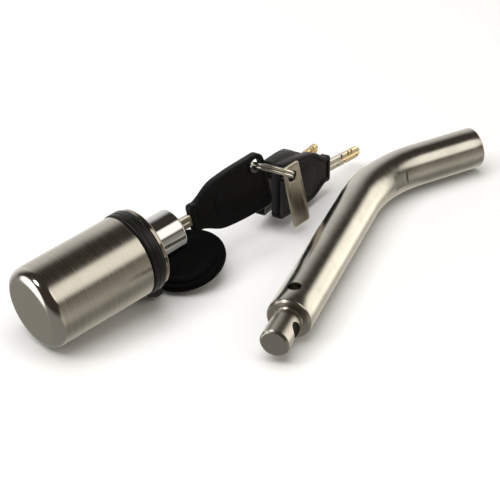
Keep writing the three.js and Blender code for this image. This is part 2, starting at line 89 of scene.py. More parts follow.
PEG_OFFSET, PEG_R = 0.7071, 0.7
KEYWAY_ROLL = math.radians(-12)
HINGE_X, HINGE_Z, LUG_R, LUG_TOP_Z = 47.6, -16.6, 1.5, -13.6
KNUCKLE_HALF, LUG_WIDTH, LUG_EDGE = 3.0, 3.2, 0.25
FLAP_R, FLAP_THICK, FLAP_OPEN = 14.9, 2.2, math.radians(80)
KEY_ROOT_X, KEY_LENGTH, KEY_HALF, KEY_T, KEY_CORNER = 68.8, 35.3, 10.6, 3.6, 3.0
EYE_X, EYE_Y, EYE_R, BOSS_R = 31.5, 6.4, 2.6, 3.75
PAD_START, PAD_END, PAD_R = 14.5, 23.0, 4.4
BLADE_H, BLADE_T, BLADE_LENGTH, TANG_LENGTH = 4.4, 2.0, 23.0, 8.0
RING_R, WIRE_R, WIRE_PITCH, RING_TURNS = 8.8, 0.6, 1.32, 1.96
TAG_WIDTH, TAG_LENGTH, TAG_T, TAG_DROP, TAG_EYE_R = 7.7, 25.3, 0.9, 4.8, 2.25
PIN_R, PIN_STRAIGHT, PIN_BEND_R, PIN_BEND, PIN_ARM = 8.0, 78.0, 54.0, math.radians(39.9), 27.0
STUB_R, STUB_LENGTH, STUB_NECK = 5.2, 14.0, 0.35
PRESS_HALF, PRESS_DEPTH, PRESS_SHARE, PRESS_TILT = (3.6, 3.0), 0.42, 0.58, math.radians(-14)
SPRING_START, SPRING_END, SPRING_R, SPRING_TURNS, SPRING_WIRE_R = BORE_FLOOR + GAP, 37.3, 4.6, 6, 0.4
NOTCH_CENTRE, NOTCH_CUTTER_R, NOTCH_DEPTH = 5.5, 3.1, 1.5
CLIP_HOLE_X, CLIP_HOLE_R, CLIP_HOLE_TILT = 8.9, 2.35, math.radians(7)

# ---------------------------------------------------------------- frames


def squared(vector, axis):
    """The direction of a vector once it is made square to an axis."""
    vector = Vector(vector)
    return (vector - axis * vector.dot(axis)).normalized()


def frame_of(origin, x, y, z):
    """The frame with these unit axes and its origin in metres."""
    return Matrix.Translation(origin) @ Matrix((x, y, z)).transposed().to_4x4()


def upright_frame(mount):
    """The frame on a mount's face, with x into the part and z as near up as it can be."""
    x = -Vector(mount["axis"]).normalized()
    z = squared((0, 0, 1), x)
    return frame_of(mount["pos_m"], x, z.cross(x), z)


def moved(matrix, x):
    """The frame moved along its own x, in mm."""
    return matrix @ Matrix.Translation((x * MM, 0, 0))


HEAD = upright_frame(MOUNTS["head_end_face"])
PIN = moved(upright_frame(MOUNTS["pin_stub_face"]), STUB_LENGTH)
KEY_A = moved(HEAD, KEY_ROOT_X) @ Matrix.Rotation(math.pi / 2 + KEYWAY_ROLL, 4, "X")

RING_NORMAL = Vector((0.548, 0.239, 0.802)).normalized()
RING_ACROSS = squared((0.826, -0.001, -0.564), RING_NORMAL)
RING_ALONG = RING_NORMAL.cross(RING_ACROSS)
RING_CENTRE = Vector(JOINTS["ring_swing"]["pos_m"]) + RING_ACROSS * RING_R * MM
RING = frame_of(RING_CENTRE, RING_NORMAL, RING_ACROSS, RING_ALONG)


def hung_key(degrees, dip_degrees, twist_degrees):
    """Frame of a key on the ring: x from its blade to its eye, y towards the eye's side."""
    angle, dip = math.radians(degrees), math.radians(dip_degrees)
    outward = RING_ALONG * math.sin(angle) - RING_ACROSS * math.cos(angle)
    wire = RING_CENTRE + outward * RING_R * MM
    twist = Matrix.Rotation(math.radians(-twist_degrees), 3, RING_NORMAL)
    along = twist @ -(outward * math.cos(dip) + RING_NORMAL * math.sin(dip))
    side = twist @ (RING_NORMAL * math.cos(dip) - outward * math.sin(dip))
    root = wire - along * EYE_X * MM - side * EYE_Y * MM
    return frame_of(root, along, side, along.cross(side))


KEY_B = hung_key(172, 27, 0)
KEY_C = hung_key(138, 24, 20)
TAG_UP = Vector((-0.143, 0.127, 0.979)).normalized()
TAG_ACROSS = squared((0.987, 0.013, 0.143), TAG_UP)
TAG = frame_of(JOINTS["tag_swing"]["pos_m"], TAG_UP, TAG_ACROSS, TAG_UP.cross(TAG_ACROSS))

# ---------------------------------------------------------------- mesh making, mm


def make(name, verts, faces):
    """A closed mesh object with its faces turned outwards."""
    mesh = bpy.data.meshes.new(name)
    mesh.from_pydata(verts, [], faces)
    work = bmesh.new()
    work.from_mesh(mesh)
    bmesh.ops.recalc_face_normals(work, faces=work.faces)
    work.to_mesh(mesh)
    work.free()
    obj = bpy.data.objects.new(name, mesh)
    bpy.context.scene.collection.objects.link(obj)
    return obj


def stacked(name, loops, closed=False):
    """Skin over loops of equal length. Open stacks get end caps."""
    count = len(loops[0])
    verts = [point for loop in loops for point in loop]
    faces = []
    last = len(loops) if closed else len(loops) - 1
    for a in range(last):
        b = (a + 1) % len(loops)
        for i in range(count):
            j = (i + 1) % count
            faces.append((a * count + i, a * count + j, b * count + j, b * count + i))
    if not closed:
        faces.append(tuple(range(count)))
        faces.append(tuple(range((len(loops) - 1) * count, len(loops) * count)))
    return make(name, verts, faces)


def turned(name, profile, segments=96):
    """A profile of (x, r) points turned about X. It has no point on the axis: its ends get flat caps."""
    closed = profile[0] == profile[-1]
    points = profile[:-1] if closed else profile
    turn = [2 * math.pi * i / segments for i in range(segments)]
    loops = [[(x, r * math.cos(a), r * math.sin(a)) for a in turn] for x, r in points]
    return stacked(name, loops, closed)


def hoop(centre, side, up, radius, segments):
    """Points on a circle around a centre."""
    turn = [2 * math.pi * i / segments for i in range(segments)]
    return [centre + (side * math.cos(a) + up * math.sin(a)) * radius for a in turn]


def cone_rod(name, points, segments=48):
    """A solid of revolution along any line: points are (centre, radius)."""
    centres = [Vector(centre) for centre, _ in points]
    x = (centres[-1] - centres[0]).normalized()
    side = x.orthogonal().normalized()
    up = x.cross(side)
    radii = [radius for _, radius in points]
    return stacked(name, [hoop(centre, side, up, r, segments) for centre, r in zip(centres, radii)])


def rod(name, start, end, radius, segments=48):
    """A cylinder between two points."""
    return cone_rod(name, [(start, radius), (end, radius)], segments)


def eyelet(name, x, y, half, radius, flare, above, below, segments=48):
    """The cutter of an upright hole through a plate or bar, with its two edges broken.

    The radius is reached below each face of the plate, and grows by the flare above the face.
    """
    return cone_rod(name, [
        ((x, y, -half - above), radius + flare),
        ((x, y, -half + below), radius),
        ((x, y, half - below), radius),
        ((x, y, half + above), radius + flare),
    ], segments)


def block(name, x0, x1, y0, y1, z0, z1):
    """A box between two corners."""
    verts = [(x, y, z) for x in (x0, x1) for y in (y0, y1) for z in (z0, z1)]
    faces = [(0, 1, 3, 2), (4, 5, 7, 6), (0, 1, 5, 4), (2, 3, 7, 6), (0, 2, 6, 4), (1, 3, 7, 5)]
    return make(name, verts, faces)


def sweep(name, path, radii, sides):
    """A round tube along a path of points, with no twist from one ring to the next."""
    path = [Vector(p) for p in path]
    loops = []
    side = None
    for i, centre in enumerate(path):
        ahead = path[min(i + 1, len(path) - 1)] - path[max(i - 1, 0)]
        ahead.normalize()
        side = ahead.orthogonal() if side is None else side - ahead * side.dot(ahead)
        side.normalize()
        loops.append(hoop(centre, side, ahead.cross(side), radii[i], sides))
    return stacked(name, loops)


def inset(outline, distance):
    """The closed 2-D outline, anticlockwise, moved inwards."""
    count = len(outline)
    result = []
    for i, (x, y) in enumerate(outline):
        px, py = outline[i - 1]
        nx, ny = outline[(i + 1) % count]
        dx, dy = nx - px, ny - py
        length = math.hypot(dx, dy) or 1.0
        result.append((x - dy / length * distance, y + dx / length * distance))
    return result


def layered(name, outline, layers):
    """A plate from one outline: layers are (inset, z)."""
    return stacked(name, [[(x, y, z) for x, y in inset(outline, step)] for step, z in layers])


def boolean(obj, other, operation="DIFFERENCE"):
    """Cuts or joins another solid, which is used up."""
    modifier = obj.modifiers.new("cut", "BOOLEAN")
    modifier.object = other
    modifier.operation = operation
    modifier.solver = "EXACT"
    graph = bpy.context.evaluated_depsgraph_get()
    result = bpy.data.meshes.new_from_object(obj.evaluated_get(graph))
    obj.modifiers.clear()
    obj.data = result
    bpy.data.objects.remove(other)
    return obj


def arc(cx, cy, radius, start, end, steps):
    """Points on an arc, angles in degrees."""
    angles = [math.radians(start + (end - start) * i / steps) for i in range(steps + 1)]
    return [(cx + radius * math.cos(a), cy + radius * math.sin(a)) for a in angles]


MERGE_M, SLIVER_M = 1e-6, 1e-7
SHARP_EDGE = math.radians(32)


def place(obj, matrix, material, body, node):
    """Puts a finished piece in the shared frame and says which CAD node it replaces."""
    obj.data.transform(matrix @ Matrix.Scale(MM, 4))
    work = bmesh.new()
    work.from_mesh(obj.data)
    bmesh.ops.remove_doubles(work, verts=work.verts, dist=MERGE_M)
    bmesh.ops.dissolve_degenerate(work, edges=work.edges, dist=SLIVER_M)
    bmesh.ops.recalc_face_normals(work, faces=work.faces)
    for face in work.faces:
        face.smooth = True
    for edge in work.edges:
        edge.smooth = len(edge.link_faces) == 2 and edge.calc_face_angle(0) < SHARP_EDGE
    work.to_mesh(obj.data)
    work.free()
    obj.data.materials.clear()
    obj.data.materials.append(material)
    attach(obj, body)
    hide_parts(node)
    return obj


# ---------------------------------------------------------------- materials


class Nodes:
    """Short ways to build a material's nodes."""

    def __init__(self, name):
        self.material = bpy.data.materials.new(name)
        self.material.use_nodes = True
        self.tree = self.material.node_tree
        self.shader = self.tree.nodes["Principled BSDF"]
        self.object = self.add("ShaderNodeTexCoord").outputs["Object"]

    def add(self, kind, **settings):
        node = self.tree.nodes.new(kind)
        for key, value in settings.items():
            setattr(node, key, value)
        return node

    def link(self, source, socket):
        self.tree.links.new(source, socket)

    def set(self, **values):
        for name, value in values.items():
            self.shader.inputs[name.replace("_", " ")].default_value = value

    def along(self, axis, centre):
        """Distance along an axis, in metres."""
        offset = self.add("ShaderNodeVectorMath", operation="SUBTRACT")
        self.link(self.object, offset.inputs[0])
        offset.inputs[1].default_value = centre
        dot = self.add("ShaderNodeVectorMath", operation="DOT_PRODUCT")
        self.link(offset.outputs[0], dot.inputs[0])
        dot.inputs[1].default_value = axis
        return dot.outputs["Value"]

    def stretched(self, own, scales):
        """Coordinates in a piece's own frame, with a scale for each axis."""
        combine = self.add("ShaderNodeCombineXYZ")
        basis = own.to_3x3().transposed()
        for i, scale in enumerate(scales):
            times = self.add("ShaderNodeMath", operation="MULTIPLY")
            self.link(self.along(basis[i], own.translation), times.inputs[0])
            times.inputs[1].default_value = scale
            self.link(times.outputs[0], combine.inputs[i])
        return combine.outputs[0]

    def math(self, operation, a, b):
        node = self.add("ShaderNodeMath", operation=operation)
        for socket, value in zip(node.inputs, (a, b)):
            if isinstance(value, (int, float)):
                socket.default_value = value
            else:
                self.link(value, socket)
        return node.outputs[0]

    def lathe(self, own, scale):
        """Coordinates that change only along an axis and away from it, as turning marks do."""
        x, y, z = (self.along(axis, own.translation) for axis in own.to_3x3().col)
        square = self.math("ADD", self.math("MULTIPLY", y, y), self.math("MULTIPLY", z, z))
        radius = self.math("SQRT", square, 0.0)
        combine = self.add("ShaderNodeCombineXYZ")
        self.link(self.math("MULTIPLY", x, scale), combine.inputs[0])
        self.link(self.math("MULTIPLY", radius, scale), combine.inputs[1])
        return combine.outputs[0]

    def noise(self, vector, scale=1.0, detail=3.0, roughness=0.55):
        node = self.add("ShaderNodeTexNoise")
        self.link(vector, node.inputs["Vector"])
        node.inputs["Scale"].default_value = scale
        node.inputs["Detail"].default_value = detail
        node.inputs["Roughness"].default_value = roughness
        return node.outputs["Fac"]

    def ramp(self, value, stops):
        """Colour ramp: stops are (position, grey or colour)."""
        node = self.add("ShaderNodeValToRGB")
        self.link(value, node.inputs["Fac"])
        elements = node.color_ramp.elements
        while len(elements) < len(stops):
            elements.new(0.5)
        for element, (position, colour) in zip(elements, stops):
            element.position = position
            colour = (colour,) * 3 if isinstance(colour, (int, float)) else colour
            element.color = (*colour, 1.0)
        return node.outputs["Color"]

    def mix(self, factor, a, b, blend="MIX"):
        node = self.add("ShaderNodeMix", data_type="RGBA", blend_type=blend)
        for socket, value in ((node.inputs["Factor"], factor), (node.inputs[6], a), (node.inputs[7], b)):
            if isinstance(value, (int, float)):
                socket.default_value = value
            elif isinstance(value, tuple):
                socket.default_value = (*value, 1.0)
            else:
                self.link(value, socket)
        return node.outputs[2]

    def bump(self, height, strength, distance):
        node = self.add("ShaderNodeBump")
        self.link(height, node.inputs["Height"])
        node.inputs["Strength"].default_value = strength
        node.inputs["Distance"].default_value = distance
        before = self.shader.inputs["Normal"]
        if before.is_linked:
            self.link(before.links[0].from_socket, node.inputs["Normal"])
        self.link(node.outputs["Normal"], before)

    def colour(self, source):
        self.link(source, self.shader.inputs["Base Color"])

    def rough(self, source):
        self.link(source, self.shader.inputs["Roughness"])


ZONE_BLEND = 0.4
GRAIN_BUMP_M, TURNING_BUMP_M, SKIN_BUMP_M = 0.00004, 0.00006, 0.00005
GRAIN_SHADE, TURNING_SCALE = 0.22, 2400.0
# Painted shade for the inside of a pocket: near black, with its own roughness.
PAINTED_POCKET_SHADE, POCKET_ROUGH = (0.05, 0.045, 0.04), (0.5, 0.5, 0.5)


def metal(name, own, grain, light, dark, rough, bump, marks=0.5, zones=(), pocket=None):
    """Worked metal: fine grain stretched by the given scales, and soft stains.

    A zone is (edge along X in mm, +1 past it or -1 before it, shade, roughness, strength of turning marks).
    A later zone covers an earlier one, and the grain stops at its edge.
    A pocket is (x, y, radius) in mm of an upright cutter, inside which the colour is painted shade: near
    black, for the shadow in the cut.
    """
    n = Nodes(name)
    n.set(Metallic=1.0)
    lines = n.noise(n.stretched(own, grain), detail=4.0, roughness=0.65)
    cloud = n.noise(n.object, scale=90.0, detail=3.0)
    tint = n.mix(n.ramp(cloud, [(0.3, 0.0), (0.7, 1.0)]), dark, light)
    shade = n.ramp(lines, [(0.3, 1.0 - GRAIN_SHADE * marks), (0.65, 1.0)])
    tint = n.mix(1.0, tint, shade, "MULTIPLY")
    low, high = rough
    roughness = n.ramp(lines, [(0.3, low), (0.75, high)])
    for edge, side, zone_shade, zone_rough, turning in zones:
        inside = n.math("MULTIPLY", n.along(own.to_3x3().col[0], own.translation), side)
        inside = n.math("SUBTRACT", inside, edge * side * MM)
        inside = n.ramp(n.math("DIVIDE", inside, ZONE_BLEND * MM), [(0.0, 0.0), (1.0, 1.0)])
        tint = n.mix(inside, tint, zone_shade)
        lines = n.mix(inside, lines, (0.5, 0.5, 0.5))
        roughness = n.mix(inside, roughness, (zone_rough,) * 3)
        if turning:
            rings = n.noise(n.lathe(own, TURNING_SCALE), detail=2.0)
            n.bump(n.math("MULTIPLY", rings, inside), turning, TURNING_BUMP_M)
    n.bump(lines, bump, GRAIN_BUMP_M)
    # Painted shade: inside the pocket's circle the colour is near black, for the shadow in the cut.
    if pocket:
        axes = own.to_3x3().col
        x, y = (n.math("SUBTRACT", n.along(axes[i], own.translation), pocket[i] * MM) for i in (0, 1))
        square = n.math("ADD", n.math("MULTIPLY", x, x), n.math("MULTIPLY", y, y))
        cut = n.math("LESS_THAN", square, (pocket[2] * MM) ** 2)
        tint = n.mix(cut, tint, PAINTED_POCKET_SHADE)
        roughness = n.mix(cut, roughness, POCKET_ROUGH)
    n.colour(tint)
    n.rough(roughness)
    return n.material


def black(name, rough, base, speck, bump, shine=0.3):
    """Moulded rubber or plastic: near black, with a fine uneven skin and paler scuffs."""
    n = Nodes(name)
    n.set(Specular_IOR_Level=shine)
    fine = n.noise(n.object, scale=2600.0, detail=3.0)
    broad = n.noise(n.object, scale=150.0, detail=4.0)
    scuff = n.ramp(broad, [(0.45, 0.0), (0.8, 1.0)])
    n.colour(n.mix(scuff, base, speck))
    low, high = rough
    n.rough(n.ramp(broad, [(0.3, low), (0.7, high)]))
    n.bump(fine, bump, SKIN_BUMP_M)
    return n.material


BRUSHED = metal(
    "brushed_stainless", HEAD, (3600.0, 26.0, 26.0), (0.56, 0.53, 0.475), (0.49, 0.46, 0.41),
    (0.17, 0.31), 0.3, marks=0.9, zones=[
        # Painted shade: the polished lip past the ring gets a darker, browner tint than the rest of the same
        # steel, for its dark reflection.
        (RING_END - 0.1, 1, (0.36, 0.325, 0.285), 0.09, 0.0),
        # Painted light: the polished fillet and the end face get a paler tint than the rest of the same
        # steel, so that they read brighter; their lower roughness is their finish.
        (SHELL_FILLET + 0.1, -1, (0.60, 0.575, 0.53), 0.12, 0.0),
        (0.45, -1, (0.64, 0.61, 0.55), 0.25, 0.0),
    ])
SATIN = metal(
    "satin_stainless", PIN, (420.0, 420.0, 420.0), (0.58, 0.56, 0.515), (0.50, 0.475, 0.43),
    (0.17, 0.27), 0.08, marks=0.4, zones=[(0.95, -1, (0.46, 0.43, 0.385), 0.30, 0.35)],
    # The stub's notch gets painted shade: the inside of its cut is coloured near black.
    pocket=(-NOTCH_CENTRE, NOTCH_DEPTH - STUB_R - NOTCH_CUTTER_R, NOTCH_CUTTER_R + 0.08))
CHROME = metal(
    "mirror_chrome", HEAD, (300.0, 200.0, 200.0), (0.66, 0.67, 0.68), (0.60, 0.61, 0.62),
    (0.04, 0.09), 0.04, marks=0.2)
STEEL = metal(
    "plain_steel", HEAD, (1500.0, 120.0, 120.0), (0.45, 0.45, 0.45), (0.36, 0.36, 0.37),
    (0.30, 0.45), 0.4)
BRASS = metal(
    "machined_brass", KEY_C, (60.0, 1500.0, 60.0), (0.80, 0.62, 0.30), (0.66, 0.49, 0.22),
    (0.20, 0.34), 0.3)
# Painted shade: key A's blade gets a darker, browner copy of key B's nickel, for the shade where it sits
# between its head and the barrel.
NICKEL_A_PAINTED_SHADE = metal(
    "key_a_nickel_painted_shade", KEY_A, (90.0, 1400.0, 90.0), (0.70, 0.66, 0.58), (0.52, 0.47, 0.40),
    (0.16, 0.3), 0.25)
NICKEL_B = metal(
    "key_b_nickel", KEY_B, (90.0, 1400.0, 90.0), (0.76, 0.72, 0.64), (0.58, 0.53, 0.45),
    (0.16, 0.3), 0.25, zones=[(-11.0, -1, (0.80, 0.68, 0.45), 0.2, 0.0)])
WIRE = metal(
    "ring_nickel", RING, (300.0, 300.0, 300.0), (0.86, 0.83, 0.76), (0.74, 0.70, 0.62),
    (0.24, 0.34), 0.1)
TAG_METAL = metal(
    "tag_nickel", TAG, (90.0, 900.0, 90.0), (0.76, 0.71, 0.62), (0.58, 0.52, 0.43),
    (0.26, 0.38), 0.12, marks=0.3)
RUBBER = black("ring_rubber", (0.28, 0.42), (0.006, 0.006, 0.006), (0.014, 0.013, 0.012), 0.15)
# Painted shade: the flap's base is darker than the ring's, though both are the same moulded rubber; its
# duller sheen and higher roughness are set apart from the colour.
FLAP_RUBBER_PAINTED_SHADE = black(
    "flap_rubber_painted_shade", (0.62, 0.8), (0.002, 0.002, 0.002), (0.004, 0.004, 0.004), 0.3, shine=0.08)
PLASTIC = black(
    "key_plastic", (0.34, 0.5), (0.003, 0.003, 0.0035), (0.007, 0.007, 0.008), 0.25, shine=0.15)

# ---------------------------------------------------------------- lock head


def shell():
    """The head's steel body, turned in one piece, with the pin's socket bored across it."""

    def groove(x0, x1, r):
        return [(x1, BORE_R), (x1, r), (x0, r), (x0, BORE_R)]

    fillet_r = SHELL_R - SHELL_FILLET
    profile = [
        *arc(SHELL_FILLET, fillet_r, SHELL_FILLET, 180, 90, 16),
        (RING_START - 0.25, SHELL_R),
        (RING_START, SHELL_R - 0.25),
        (RING_START, RING_FLOOR_R),
        (RING_END, RING_FLOOR_R),
        (RING_END, LIP_R - 0.3),
        (RING_END + 0.3, LIP_R),
        *arc(SHELL_LENGTH - 0.7, LIP_R - 0.7, 0.7, 90, 0, 6),
        (SHELL_LENGTH, 13.2),
        *arc(SHELL_LENGTH - 0.45, 12.6, 0.45, 45, 0, 2),
        (SHELL_LENGTH - 0.45, 10.4),
        (SHELL_LENGTH, 9.9),
        (SHELL_LENGTH, BORE_R + 0.5),
        (SHELL_LENGTH - 0.5, BORE_R),
        *groove(SEAL_START, SEAL_END, SEAL_GROOVE_R),
        *groove(LATCH_START, LATCH_END, LATCH_GROOVE_R),
        *groove(LATCH_START - TRAVEL, LATCH_END - TRAVEL, LATCH_GROOVE_R),
        (BORE_FLOOR, BORE_R),
        (BORE_FLOOR, BOLT_BORE_R),
        (SOCKET_X, BOLT_BORE_R),
    ]
    obj = turned("lock_shell", profile, 128)
    x = SOCKET_X
    mouth = cone_rod("mouth", [
        ((x, SHOULDER_DEPTH_Y, 0), SOCKET_R),
        ((x, 11.6, 0), SOCKET_R),
        ((x, SHELL_R + 2, 0), SOCKET_R),
    ], 96)
    boolean(obj, mouth)
    bore = cone_rod("bore", [
        ((x, STUB_BORE_END_Y, 0), STUB_BORE_R - 0.6),
        ((x, STUB_BORE_END_Y + 0.6, 0), STUB_BORE_R),
        ((x, SHOULDER_DEPTH_Y - 0.5, 0), STUB_BORE_R),
        ((x, SHOULDER_DEPTH_Y + 0.2, 0), STUB_BORE_R + 0.7),
    ], 96)
    boolean(obj, bore)
    hole = rod("retainer_hole", (RETAINER_X, 0, -SHELL_R - 1), (RETAINER_X, 0, -5), RETAINER_R, 40)
    return boolean(obj, hole)


place(shell(), HEAD, BRUSHED, "lock_head", "shell")


def dust_ring():
    """The grooved rubber band, with two lugs below that carry the flap."""
    outer, inner = SHELL_R + 0.4, RING_FLOOR_R + GAP
    start, end = RING_START + GAP, RING_END - GAP
    band = turned("dust_ring_piece", [
        (start, inner),
        *arc(start + 0.6, outer - 0.6, 0.6, 180, 90, 5),
        (start + 1.5, outer),
        (start + 1.7, outer - 0.2),
        (start + 2.0, outer - 0.2),
        (start + 2.2, outer),
        *arc(end - 0.6, outer - 0.6, 0.6, 90, 0, 5),
        (end, inner),
        (start, inner),
    ], 128)
    lug = [
        (start + 0.6, LUG_TOP_Z),
        (start + 1.6, HINGE_Z + 0.2),
        (HINGE_X - 1.4, HINGE_Z - LUG_R),
        *arc(HINGE_X, HINGE_Z, LUG_R, -90, 90, 12),
        (end - 0.4, LUG_TOP_Z),
    ]
    for side in (-1, 1):
        y0 = KNUCKLE_HALF + GAP if side > 0 else -KNUCKLE_HALF - GAP - LUG_WIDTH
        loops = [[(x, y, z) for x, z in shape] for shape, y in (
            (inset(lug, LUG_EDGE), y0),
            (lug, y0 + LUG_EDGE),
            (lug, y0 + LUG_WIDTH - LUG_EDGE),
            (inset(lug, LUG_EDGE), y0 + LUG_WIDTH),
        )]
        boolean(band, stacked("lug", loops), "UNION")
    lip_end, lip_r = SHELL_LENGTH + GAP, LIP_R + GAP
    lip_room = [(end, 5.0), (end, lip_r), (lip_end, lip_r), (lip_end, 5.0), (end, 5.0)]
    return boolean(band, turned("keep_out", lip_room, 128))


place(dust_ring(), HEAD, RUBBER, "lock_head", "dust_ring")


def flap():
    """The dished flap with its rim and hinge web, built closed and then swung open."""
    back = SHELL_LENGTH + GAP + 0.2
    front = back + FLAP_THICK
    disc = turned("dust_flap_piece", [
        (back + 0.7, 0.4),
        (back + 0.7, 8.6),
        (back + 0.6, 9.0),
        (back + 0.1, 9.5),
        (back, 9.9),
        (back, 11.6),
        (back + 0.3, 11.9),
        (back + 0.3, 12.7),
        (back + 0.15, 13.0),
        *arc(back + 0.85, FLAP_R - 0.7, 0.7, 180, 90, 5),
        *arc(front - 0.6, FLAP_R - 0.6, 0.6, 90, 0, 5),
        (front, FLAP_R - 2.3),
        (front - 0.15, FLAP_R - 2.6),
        (front - 0.5, FLAP_R - 2.9),
        (front - 0.5, 0.4),
    ], 128)
    web = [
        (HINGE_X, HINGE_Z + LUG_R),
        *arc(HINGE_X, HINGE_Z, LUG_R, 100, 270, 14),
        (front - 0.6, HINGE_Z + 0.4),
        (front - 0.3, LUG_TOP_Z),
        (back + 0.2, LUG_TOP_Z),
        (back + 0.2, HINGE_Z + LUG_R),
    ]
    loops = [[(x, y, z) for x, z in web] for y in (-KNUCKLE_HALF, KNUCKLE_HALF)]
    boolean(disc, stacked("web", loops), "UNION")
    hinge = Matrix.Translation((HINGE_X, 0, HINGE_Z))
    disc.data.transform(hinge @ Matrix.Rotation(FLAP_OPEN, 4, "Y") @ hinge.inverted())
    return disc


place(flap(), HEAD, FLAP_RUBBER_PAINTED_SHADE, "flap", "dust_flap")

ROLL = Matrix.Rotation(KEYWAY_ROLL, 4, "X")


def barrel():
    """The chromed cylinder that holds the plug, with the slots its inner pieces move in."""
    obj = turned("key_barrel", [
        (BARREL_BACK, BOLT_HOLE_R),
        (BARREL_BACK, BARREL_R - 0.6),
        (BARREL_BACK + 0.6, BARREL_R),
        (BARREL_FRONT - 1.0, BARREL_R),
        *arc(BARREL_FRONT - 0.8, BARREL_R - 0.8, 0.8, 90, 0, 7),
        (BARREL_FRONT, PLUG_FLANGE_R + 0.55),
        (BARREL_FRONT - 0.25, PLUG_FLANGE_R + GAP),
        (BARREL_FRONT - PLUG_FLANGE - GAP, PLUG_FLANGE_R + GAP),
        (BARREL_FRONT - PLUG_FLANGE - GAP, PLUG_BORE_R),
        (CLIP_END, PLUG_BORE_R),
        (CLIP_END, PLUG_BORE_R + CLIP_DEPTH),
        (CLIP_START, PLUG_BORE_R + CLIP_DEPTH),
        (CLIP_START, PLUG_BORE_R),
        (PLUG_BACK - GAP, PLUG_BORE_R),
        (PLUG_BACK - GAP, BOLT_HOLE_R),
        (BARREL_BACK, BOLT_HOLE_R),
    ], 112)
    boolean(obj, rod("pocket", (BARREL_BACK - 1, 0, 0), (BARREL_BACK + 6, 0, 0), 5.85, 64))
    channel = block("channel", 45, 58.6, -1.7, 1.7, -5.9, 5.9)
    channel.data.transform(ROLL)
    boolean(obj, channel)
    boolean(obj, block("latch_slot", LATCH_START, LATCH_END, -3.3, 3.3, -4.6, 9))
    slot_start, slot_end = RETAINER_X - RETAINER_R, RETAINER_X + TRAVEL + RETAINER_R
    return boolean(obj, block("retainer_slot", slot_start, slot_end, -RETAINER_R, RETAINER_R, -9, -6.4))


place(barrel(), HEAD, CHROME, "barrel", "barrel_housing")


def plug():
    """The turning plug: a flange in front, the keyway, wafer slots, and a peg behind for the latch."""
    r = PLUG_BORE_R - GAP
    obj = turned("key_plug", [
        (PLUG_BACK, 0.3),
        (PLUG_BACK, r),
        (CLIP_START + 0.2, r),
        (CLIP_START + 0.2, 3.6),
        (CLIP_END - 0.2, 3.6),
        (CLIP_END - 0.2, r),
        (BARREL_FRONT - PLUG_FLANGE, r),
        (BARREL_FRONT - PLUG_FLANGE, PLUG_FLANGE_R),
        *arc(BARREL_FRONT - 0.35, PLUG_FLANGE_R - 0.35, 0.35, 90, 0, 4),
        (BARREL_FRONT, 0.3),
    ], 96)
    t, h = BLADE_T / 2 + GAP, BLADE_H / 2 + GAP
    boolean(obj, block("keyway", PLUG_BACK + 0.7, BARREL_FRONT + 1, -t, t, -h, h))
    for x in WAFER_PLACES:
        boolean(obj, block("wafer_slot", x - 0.8, x + 0.8, -3.1, 3.1, -6, 6))
    obj.data.transform(ROLL)
    y, z = PEG_OFFSET, -PEG_OFFSET
    peg = rod("peg", (LATCH_START + 0.5, y, z), (PLUG_BACK + 0.3, y, z), PEG_R, 24)
    return boolean(obj, peg, "UNION")


place(plug(), HEAD, CHROME, "plug", "keyway_plug")

# ---------------------------------------------------------------- keys


def bezier(a, b, c, d, steps):
    """Points on a curve from a to d, without its first."""
    points = []
    for i in range(1, steps + 1):
        t = i / steps
        u = 1 - t
        shares = (u ** 3, 3 * u * u * t, 3 * u * t * t, t ** 3)
        points.append(tuple(sum(s * point[k] for s, point in zip(shares, (a, b, c, d))) for k in (0, 1)))
    return points


def key_outline():
    """One side from the root to the far end, then the other side, mirrored."""
    low = [(0.0, -3.6)]
    low += bezier((0.0, -3.6), (0.05, -4.9), (0.8, -5.35), (2.0, -5.2), 5)
    low += bezier((2.0, -5.2), (2.6, -5.05), (3.0, -5.1), (3.6, -5.3), 3)
    low += bezier((3.6, -5.3), (7.5, -6.8), (9.0, -9.0), (14.0, -9.6), 12)
    low += bezier((14.0, -9.6), (17.0, -9.95), (19.0, -10.15), (22.0, -10.3), 5)
    low += arc(KEY_LENGTH - KEY_CORNER, KEY_CORNER - KEY_HALF, KEY_CORNER, -90, 0, 10)
    return low + [(x, -y) for x, y in reversed(low)]


def key_head(name):
    """The plastic head: a raised rim round a sunk face, an oval pad, and a boss round the eye."""
    half = KEY_T / 2
    rim = [(0.0, 1.35), (0.04, 1.5), (0.16, 1.66), (0.34, 1.76), (0.56, half)]
    face = [(1.5, half), (1.7, 1.76), (1.85, 1.5), (2.05, 1.44), (2.6, 1.44)]
    layers = rim + face
    obj = layered(name, key_outline(), [(step, -z) for step, z in reversed(layers)] + layers)
    boss = rod("boss", (EYE_X, EYE_Y, -half + 0.02), (EYE_X, EYE_Y, half - 0.02), BOSS_R, 48)
    boolean(obj, boss, "UNION")
    pad = arc(PAD_START, 0.0, PAD_R, 90, 270, 16) + arc(PAD_END, 0.0, PAD_R, -90, 90, 16)
    for side in (-1, 1):
        layers = [(0.0, side * 1.2), (0.0, side * 1.58), (0.12, side * 1.68), (0.35, side * 1.7)]
        boolean(obj, layered("pad", pad, layers), "UNION")
    boolean(obj, eyelet("eye", EYE_X, EYE_Y, half, EYE_R, flare=0.7, above=0.4, below=0.4))
    t, h = BLADE_T / 2 + GAP, BLADE_H / 2 + GAP
    return boolean(obj, block("slot", -1, TANG_LENGTH + GAP, -h, h, -t, t))


